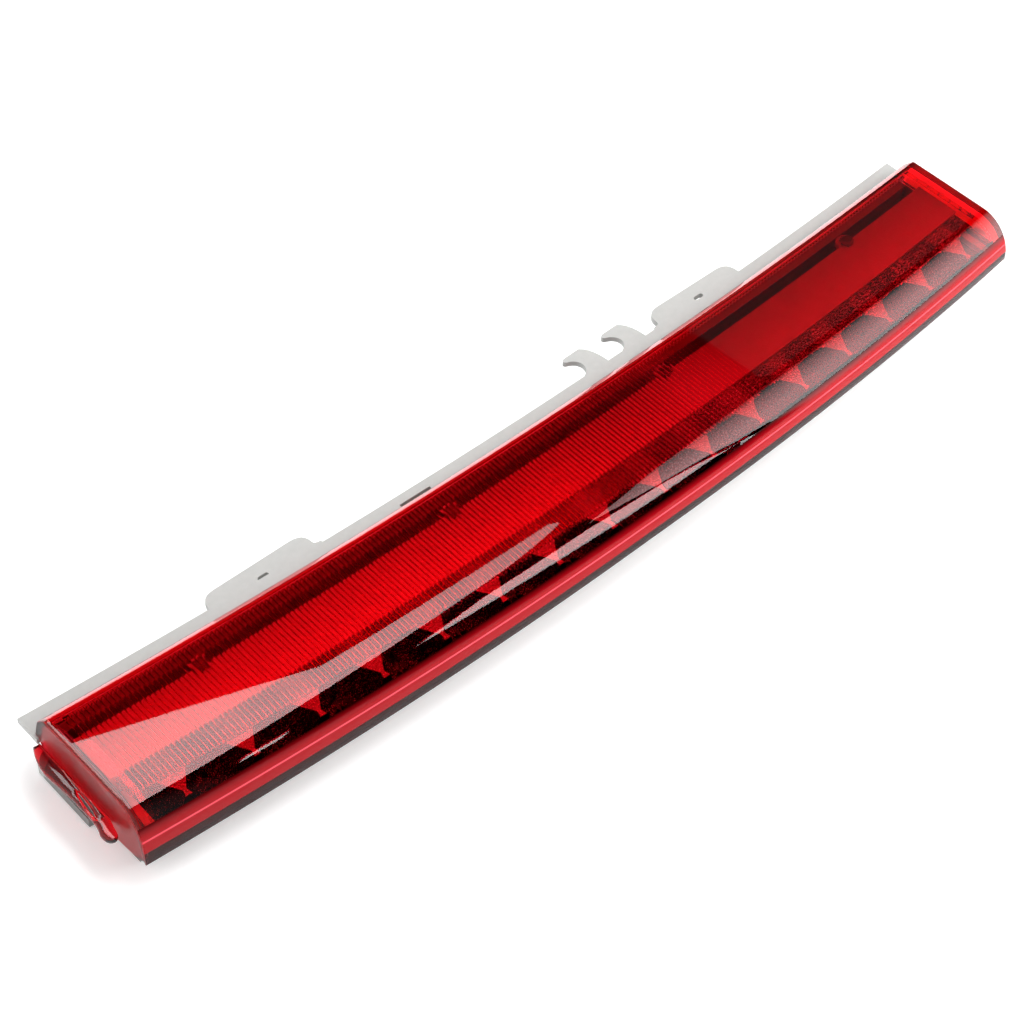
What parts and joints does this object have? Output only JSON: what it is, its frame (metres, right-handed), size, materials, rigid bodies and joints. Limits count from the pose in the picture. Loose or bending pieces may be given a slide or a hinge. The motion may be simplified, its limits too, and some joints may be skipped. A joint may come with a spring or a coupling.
{
  "type": "third brake light",
  "caption": "Long bowed high-level brake light: red ribbed lens cap clipped over a light grey housing with mounting tabs, cable hooks, reflector bowls and an LED board.",
  "frame": {"origin": "centre of the housing's flat rear face", "axes": "+X along the lamp, +Y towards the edge with the mounting tabs and cable hooks, +Z out of the lens"},
  "size_m": [0.476, 0.0872, 0.0363],
  "materials": {
    "lens_red": "clear red moulded acrylic, polished outside and fluted inside",
    "housing_grey": "fine satin moulded light grey plastic",
    "bezel_white": "smooth white moulded plastic",
    "reflector_metal": "bright vacuum metallised plastic",
    "board_green": "green solder mask on glass laminate",
    "led_clear": "pale moulded package with a clear dome",
    "chip_black": "black epoxy",
    "connector_black": "black nylon",
    "terminal_tin": "tin plated brass",
    "rubber_black": "solid black rubber",
    "screw_steel": "zinc plated steel"
  },
  "bodies": {
    "root": {"lens": "lens_red", "housing": "housing_grey", "inner_bezel": "bezel_white", "reflector": "reflector_metal", "circuit_board": "board_green", "led_01": "led_clear", "led_02": "led_clear", "led_03": "led_clear", "led_04": "led_clear", "led_05": "led_clear", "led_06": "led_clear", "led_07": "led_clear", "led_08": "led_clear", "led_09": "led_clear", "led_10": "led_clear", "led_11": "led_clear", "led_12": "led_clear", "led_13": "led_clear", "led_14": "led_clear", "led_15": "led_clear", "led_16": "led_clear", "led_17": "led_clear", "resistor_1": "chip_black", "resistor_2": "chip_black", "resistor_3": "chip_black", "resistor_4": "chip_black", "resistor_5": "chip_black", "resistor_6": "chip_black", "driver_chip": "chip_black", "input_diode": "chip_black", "connector_shell": "connector_black", "terminal_1": "terminal_tin", "terminal_2": "terminal_tin", "vent_cap": "rubber_black", "flange_seal": "rubber_black", "panel_screw_1": "screw_steel", "panel_screw_2": "screw_steel", "panel_screw_3": "screw_steel", "panel_screw_4": "screw_steel", "board_screw_1": "screw_steel", "board_screw_2": "screw_steel", "board_screw_3": "screw_steel"}
  },
  "joints": []
}
